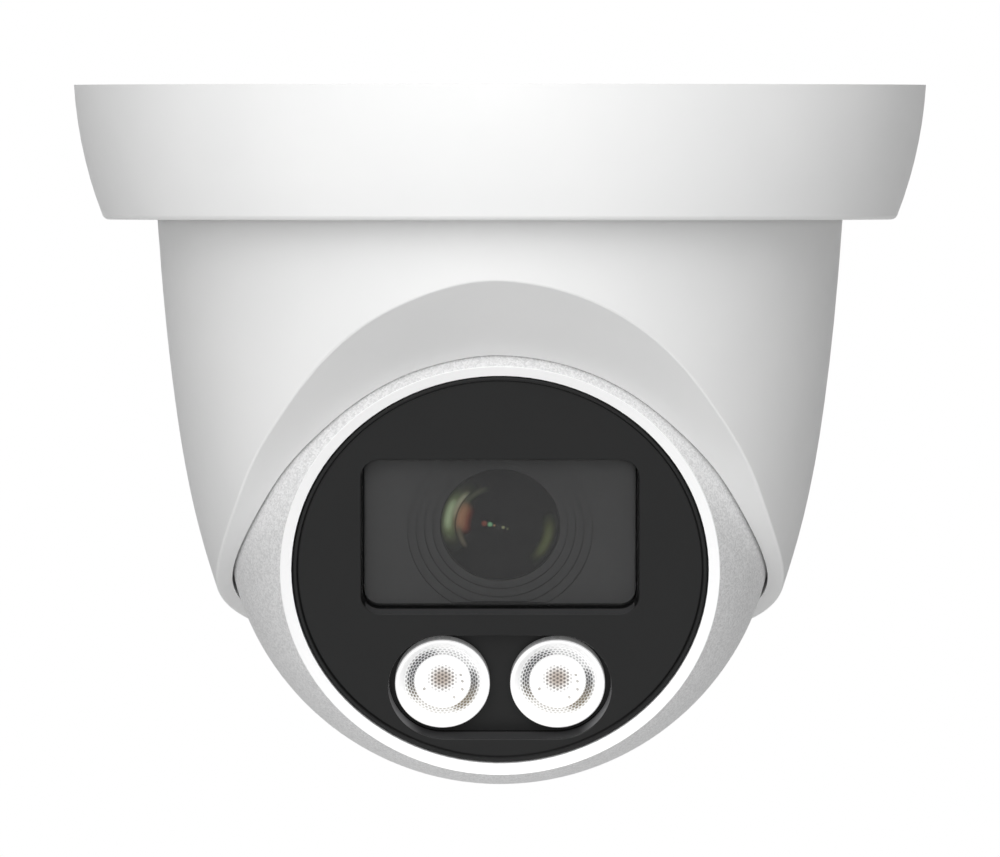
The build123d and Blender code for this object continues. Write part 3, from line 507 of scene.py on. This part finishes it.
def facet_ring(paint, reach, bearing):
    """How much painted shade a point of the ring of facets takes: its dots and the shade between them."""
    from_ring = paint.math("SUBTRACT", reach, FACET_INNER)
    row = cell_offset(paint, from_ring, FACET_ROW, 0)
    row_number = paint.math("FLOOR", paint.math("MULTIPLY", from_ring, 1 / FACET_ROW))
    staggered = paint.math("ADD", bearing, paint.math("MULTIPLY", row_number, FACET_COLUMN / 2))
    column = cell_offset(paint, staggered, FACET_COLUMN, 0)
    spot = paint.far(paint.math("MULTIPLY", column, 1.7 / FACET_COLUMN),
                     paint.math("MULTIPLY", row, 1.5 / FACET_ROW))
    ring = paint.product(paint.span(reach, 0.57 * LAMP_R, 0.62 * LAMP_R),
                         paint.span(reach, 0.86 * LAMP_R, 0.66 * LAMP_R))
    # Painted shade is strongest in an upper-left arc and a lower-right arc.
    from_shade = paint.math("SUBTRACT", bearing, SHADE_BEARING)
    upper_left = paint.span(paint.math("COSINE", from_shade), 0.35, 1.0)
    from_lower_shade = paint.math("SUBTRACT", bearing, LOWER_SHADE_BEARING)
    lower_right = paint.span(paint.math("COSINE", from_lower_shade), 0.55, 1.0)
    strength = paint.total(paint.math("MULTIPLY", upper_left, 0.85),
                           paint.math("MULTIPLY", lower_right, 0.60), 0.45)
    dots = paint.product(ring, strength, paint.span(spot, 0.85, 0.35))
    thick = paint.math("ADD", strength, paint.math("MULTIPLY", lower_right, 0.70))
    return paint.math("ADD", dots, paint.product(ring, thick, 0.40), clamp=True)


def dotted_middle(paint, look, right, high, reach):
    """Adds painted shade: the brown-grey field of dots, on a lattice of hexagons, and the stray dots round it."""
    wide = DOT_PITCH * math.sqrt(3)
    lattice = []
    for shift in (0, 0.5):
        across = cell_offset(paint, right, wide, shift)
        lattice.append(paint.far(across, cell_offset(paint, high, DOT_PITCH, shift)))
    near = paint.math("MINIMUM", *lattice)
    field = paint.span(reach, DOT_FIELD * 1.15, DOT_FIELD * 0.55)
    tint = paint.math("MULTIPLY", paint.span(reach, DOT_FIELD, 0.2 * DOT_FIELD), 0.85)
    look = paint.mix(tint, look, (0.34, 0.27, 0.22))
    dot = paint.product(field, paint.span(near, 0.46 * DOT_PITCH, 0.18 * DOT_PITCH), 0.85)
    look = paint.mix(dot, look, (0.075, 0.066, 0.058))
    for side, rise in STRAY_DOTS:
        off = paint.far(paint.math("SUBTRACT", right, side * LAMP_R),
                        paint.math("SUBTRACT", high, rise * LAMP_R))
        dot = paint.math("MULTIPLY", paint.span(off, 0.045 * LAMP_R, 0.020 * LAMP_R), 0.7)
        look = paint.mix(dot, look, (0.2, 0.18, 0.15))
    return look


def lamp_white():
    """White optic with painted shade: its facets go grey in two arcs of the ring and brown-grey in the middle, its
    side goes grey, and it glows a little as painted light.
    """
    paint = Paint("lamp_white")
    face = optics(paint)
    lamp = paint.math("MULTIPLY", paint.math("SIGN", face.across), LAMP_X)
    right = paint.math("SUBTRACT", face.across, lamp)
    high = paint.math("SUBTRACT", face.up, LAMP_Y)
    reach = paint.far(right, high)
    bearing = paint.math("ARCTAN2", high, right)
    white = paint.mix(paint.noise(400, 2), (0.93, 0.93, 0.93), (0.96, 0.96, 0.96))
    # Painted shade colour: grey, going brown-grey towards the bottom.
    warm = paint.span(high, 0.1 * LAMP_R, -0.5 * LAMP_R)
    shade = paint.mix(warm, (0.085, 0.085, 0.088), (0.17, 0.145, 0.105))
    look = paint.mix(facet_ring(paint, reach, bearing), white, shade)
    look = dotted_middle(paint, look, right, high, reach)
    # Painted shade on the optic's side, down in the recess.
    flank = paint.product(paint.span(face.out, LAMP_FRONT - 0.1 * MM, LAMP_FRONT - 0.4 * MM),
                          paint.span(reach, 0.975 * LAMP_R, 0.99 * LAMP_R))
    look = paint.mix(flank, look, (0.40, 0.40, 0.40))
    paint.colour(look)
    # Painted light: the optic glows a little, though the lamps are off.
    paint.wire(look, paint.shader.inputs["Emission Color"])
    paint.set(Emission_Strength=0.22)
    paint.roughness(paint.span(paint.noise(900, 2), 0.3, 0.7, 0.22, 0.32))
    paint.bump(paint.noise(3000, 2), 0.05, 0.02 * MM)
    return paint.material


MATERIALS = {
    "white_plastic": white_plastic("white_plastic", (0.845, 0.847, 0.845), (0.87, 0.87, 0.867)),
    "silver_paint": silver_paint(),
    "cast_alloy": cast_alloy(),
    "steel": brushed("steel", (0.46, 0.47, 0.48), (0.68, 0.69, 0.70)),
    "brass": brushed("brass", (0.62, 0.50, 0.26), (0.80, 0.66, 0.38)),
    "black_alloy": brushed("black_alloy", (0.018, 0.018, 0.020), (0.034, 0.034, 0.037), (0.35, 0.5), 0.6),
    "rubber": moulded("rubber", (0.018, 0.018, 0.018), (0.028, 0.028, 0.028), (0.7, 0.85), 1500, 0.3),
    "nylon": moulded("nylon", (0.62, 0.60, 0.55), (0.70, 0.68, 0.62), (0.4, 0.52)),
    "black_face": black_face(),
    "black_inner": black_inner(),
    "smoked_window": smoked_window(),
    "optical_glass": optical_glass(),
    "filter_glass": filter_glass(),
    "circuit_board": circuit_board(),
    "chip_black": moulded("chip_black", (0.020, 0.020, 0.021), (0.032, 0.032, 0.033), (0.45, 0.6), 2400, 0.2),
    "connector_white": moulded("connector_white", (0.72, 0.69, 0.58), (0.80, 0.77, 0.66)),
    "thermal_grey": moulded("thermal_grey", (0.34, 0.37, 0.41), (0.42, 0.45, 0.50), (0.75, 0.9)),
    "lamp_white": lamp_white(),
    "lamp_yellow": lamp_yellow(),
}


def paint_nodes():
    """Gives every node its slot's material; the front glass and the turret have their own."""
    # The turret takes a darker copy of the white plastic: painted shade.
    turret_plastic = white_plastic("turret_plastic", (0.785, 0.787, 0.785), (0.81, 0.81, 0.807))
    own = {"lens_front_element": glass_painted_glints(), "turret_housing": turret_plastic}
    for entry in frame["record"]["subparts"]:
        name = entry["node"]
        node = NODES[name]
        node.data.materials.clear()
        node.data.materials.append(own.get(name, MATERIALS[entry["material_slot"]]))


paint_nodes()


# ---------------------------------------------------------------- lamp optics
SECTORS = FACET_COLUMNS * 6
DISH_DEPTH = 2.3 * MM
RING_DEPTH = 1.25 * MM
DOME_RISE = 0.10 * MM
FACET_RISE = 0.07 * MM
FIRST_RING_R = 0.06 * MM               # the innermost ring, round the middle point
BEZEL_INNER = 0.93 * LAMP_R
BEZEL_CREST = 0.965 * LAMP_R
BEZEL_EDGE = 0.985 * LAMP_R
NECK_R = 0.65 * LAMP_R
SHOULDER = LAMP_FRONT - 1.8 * MM


def hex_gap(x, y):
    """Distance from the nearest point of a hexagonal lattice."""
    wide = DOT_PITCH * math.sqrt(3)
    gaps = []
    for shift in (0, 0.5):
        across = ((x / wide + shift) % 1 - 0.5) * wide
        up = ((y / DOT_PITCH + shift) % 1 - 0.5) * DOT_PITCH
        gaps.append(np.hypot(across, up))
    return np.minimum(*gaps)


def optic_height(reach, bearing):
    """How far the front of the optic stands out, with its facets and small domes."""
    levels = [
        (0, -DISH_DEPTH), (DOT_FIELD, -DISH_DEPTH), (FACET_INNER, -RING_DEPTH), (FACET_OUTER, -RING_DEPTH),
        (BEZEL_INNER, -0.02 * MM), (BEZEL_CREST, 0), (BEZEL_EDGE, -0.06 * MM), (LAMP_R, -0.25 * MM),
    ]
    height = np.interp(reach, *zip(*levels))
    gap = hex_gap(reach * np.cos(bearing), reach * np.sin(bearing))
    domes = np.clip(1 - (gap / (0.5 * DOT_PITCH))**2, 0, 1) * DOME_RISE
    height = height + np.where(reach < DOT_FIELD, domes, 0)
    row_place = (reach - FACET_INNER) / FACET_ROW
    column = np.abs(np.sin(math.pi * (bearing / FACET_COLUMN + np.floor(row_place) / 2)))
    row = np.abs(np.sin(math.pi * row_place))
    inside = (reach > FACET_INNER) & (reach < FACET_OUTER)
    return height + np.where(inside, column * row * FACET_RISE, 0)


def optic_rings(bearings, rear):
    """Radius and heights of each ring of points, from the middle of the front round to the back."""
    stretches = (
        (FIRST_RING_R, DOT_FIELD, 30), (DOT_FIELD, FACET_INNER, 10),
        (FACET_INNER, FACET_OUTER, 6 * FACET_ROWS + 1), (FACET_OUTER, BEZEL_CREST, 8),
        (BEZEL_CREST, LAMP_R, 5),
    )
    stations = [FIRST_RING_R]
    for start, end, count in stretches:
        stations.extend(np.linspace(start, end, count)[1:])
    rings = [(reach, LAMP_FRONT + optic_height(np.full(SECTORS, reach), bearings)) for reach in stations]
    outside = (
        (LAMP_R, LAMP_FRONT - 0.8 * MM), (LAMP_R, SHOULDER + 0.1 * MM), (LAMP_R - 0.1 * MM, SHOULDER),
        (NECK_R, SHOULDER), (NECK_R, rear), (0.38 * LAMP_R, rear), (0.36 * LAMP_R, rear + 0.3 * MM),
    )
    return rings + [(reach, np.full(SECTORS, level)) for reach, level in outside]


def ring_faces(count):
    """Faces between neighbouring rings, and the fans that close the front and the back."""
    faces = []
    afters = [(step + 1) % SECTORS for step in range(SECTORS)]
    for index in range(count - 1):
        start, end = index * SECTORS, (index + 1) * SECTORS
        for step, after in enumerate(afters):
            faces.append((start + step, end + step, end + after, start + after))
    front, back = count * SECTORS, count * SECTORS + 1
    last = (count - 1) * SECTORS
    for step, after in enumerate(afters):
        faces.append((front, step, after))
        faces.append((last + after, last + step, back))
    return faces


def lamp_optic(name, node, side):
    """Closed white optic with a dished, faceted front, in place of the plain drum."""
    rear = optical_box(node)[0].z
    bearings = np.arange(SECTORS) * math.tau / SECTORS
    rings = optic_rings(bearings, rear)
    points = []
    for reach, level in rings:
        across = side * LAMP_X + reach * np.cos(bearings)
        up = LAMP_Y + reach * np.sin(bearings)
        points += [FACE @ Vector(corner) for corner in zip(across, up, level)]
    for level in (LAMP_FRONT - DISH_DEPTH, rear + 0.3 * MM):
        points.append(FACE @ Vector((side * LAMP_X, LAMP_Y, level)))
    faces = ring_faces(len(rings))
    mesh = bpy.data.meshes.new(name)
    mesh.from_pydata(points, [], faces)
    mesh.polygons.foreach_set("use_smooth", [True] * len(faces))
    mesh.materials.append(MATERIALS["lamp_white"])
    piece = bpy.data.objects.new(name, mesh)
    bpy.context.scene.collection.objects.link(piece)
    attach(piece, "ball")
    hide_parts(node)


lamp_optic("lamp_optic_left", "lamp_lens_left", -1)
lamp_optic("lamp_optic_right", "lamp_lens_right", 1)


# ---------------------------------------------------------------- floor, light and sky
FLOOR_R = 1.4
FLOOR_Z = -0.34
FADE_START = 0.45
FADE_END = 1.35


def floor():
    """Pale round floor well under the camera, fading out at its edge and unseen from below."""
    bpy.ops.mesh.primitive_circle_add(
        vertices=96, radius=FLOOR_R, fill_type="NGON", location=(0, 0, FLOOR_Z))
    ground = bpy.context.object
    ground.name = "floor"
    paint = Paint("floor")
    paint.colour(paint.mix(paint.noise(3), (0.84, 0.84, 0.84), (0.87, 0.87, 0.87)))
    paint.roughness(paint.noise(6))
    far = paint.vector("LENGTH", paint.place, (0, 0, 0), "Value")
    side = paint.add("ShaderNodeNewGeometry").outputs["Backfacing"]
    hidden = paint.math("MAXIMUM", paint.span(far, FADE_START, FADE_END), side)
    clear = paint.add("ShaderNodeBsdfTransparent")
    blend = paint.add("ShaderNodeMixShader")
    paint.wire(hidden, blend.inputs[0])
    paint.wire(paint.shader.outputs[0], blend.inputs[1])
    paint.wire(clear.outputs[0], blend.inputs[2])
    paint.wire(blend.outputs[0], paint.output.inputs["Surface"])
    ground.data.materials.append(paint.material)


LIGHT_FROM = (-0.13, -0.93, 0.34)    # the broad front light, a little up and to the left
FROM_BEHIND = (0, 1, 0)
FROM_ABOVE = (0, 0, 1)


def sky(base, front, back, top):
    """Soft studio light from the front, behind and above; the camera itself sees plain white."""
    world = bpy.data.worlds.new("sky")
    bpy.context.scene.world = world
    world.use_nodes = True
    tree = world.node_tree
    tree.nodes.clear()
    wire = tree.links.new
    place = tree.nodes.new("ShaderNodeTexCoord").outputs["Generated"]
    level = base
    lobes = ((LIGHT_FROM, front, 6.0), (FROM_BEHIND, back, 4.0), (FROM_ABOVE, top, 4.0))
    for heading, strength, power in lobes:
        facing = tree.nodes.new("ShaderNodeVectorMath")
        facing.operation = "DOT_PRODUCT"
        wire(place, facing.inputs[0])
        facing.inputs[1].default_value = heading
        lobe = facing.outputs["Value"]
        for operation, number in (("MAXIMUM", 0.0), ("POWER", power), ("MULTIPLY", strength), ("ADD", level)):
            step = tree.nodes.new("ShaderNodeMath")
            step.operation = operation
            wire(lobe, step.inputs[0])
            if operation == "ADD" and not isinstance(level, float):
                wire(level, step.inputs[1])
            else:
                step.inputs[1].default_value = number
            lobe = step.outputs[0]
        level = lobe
    light = tree.nodes.new("ShaderNodeBackground")
    light.inputs["Color"].default_value = (1, 1, 1, 1)
    wire(level, light.inputs["Strength"])
    plain = tree.nodes.new("ShaderNodeBackground")
    plain.inputs["Color"].default_value = (1, 1, 1, 1)
    blend = tree.nodes.new("ShaderNodeMixShader")
    wire(tree.nodes.new("ShaderNodeLightPath").outputs["Is Camera Ray"], blend.inputs[0])
    wire(light.outputs[0], blend.inputs[1])
    wire(plain.outputs[0], blend.inputs[2])
    output = tree.nodes.new("ShaderNodeOutputWorld")
    wire(blend.outputs[0], output.inputs["Surface"])


floor()
sky(base=0.075, front=3.93, back=0.8, top=0.8)
bpy.context.scene.view_settings.view_transform = "Standard"
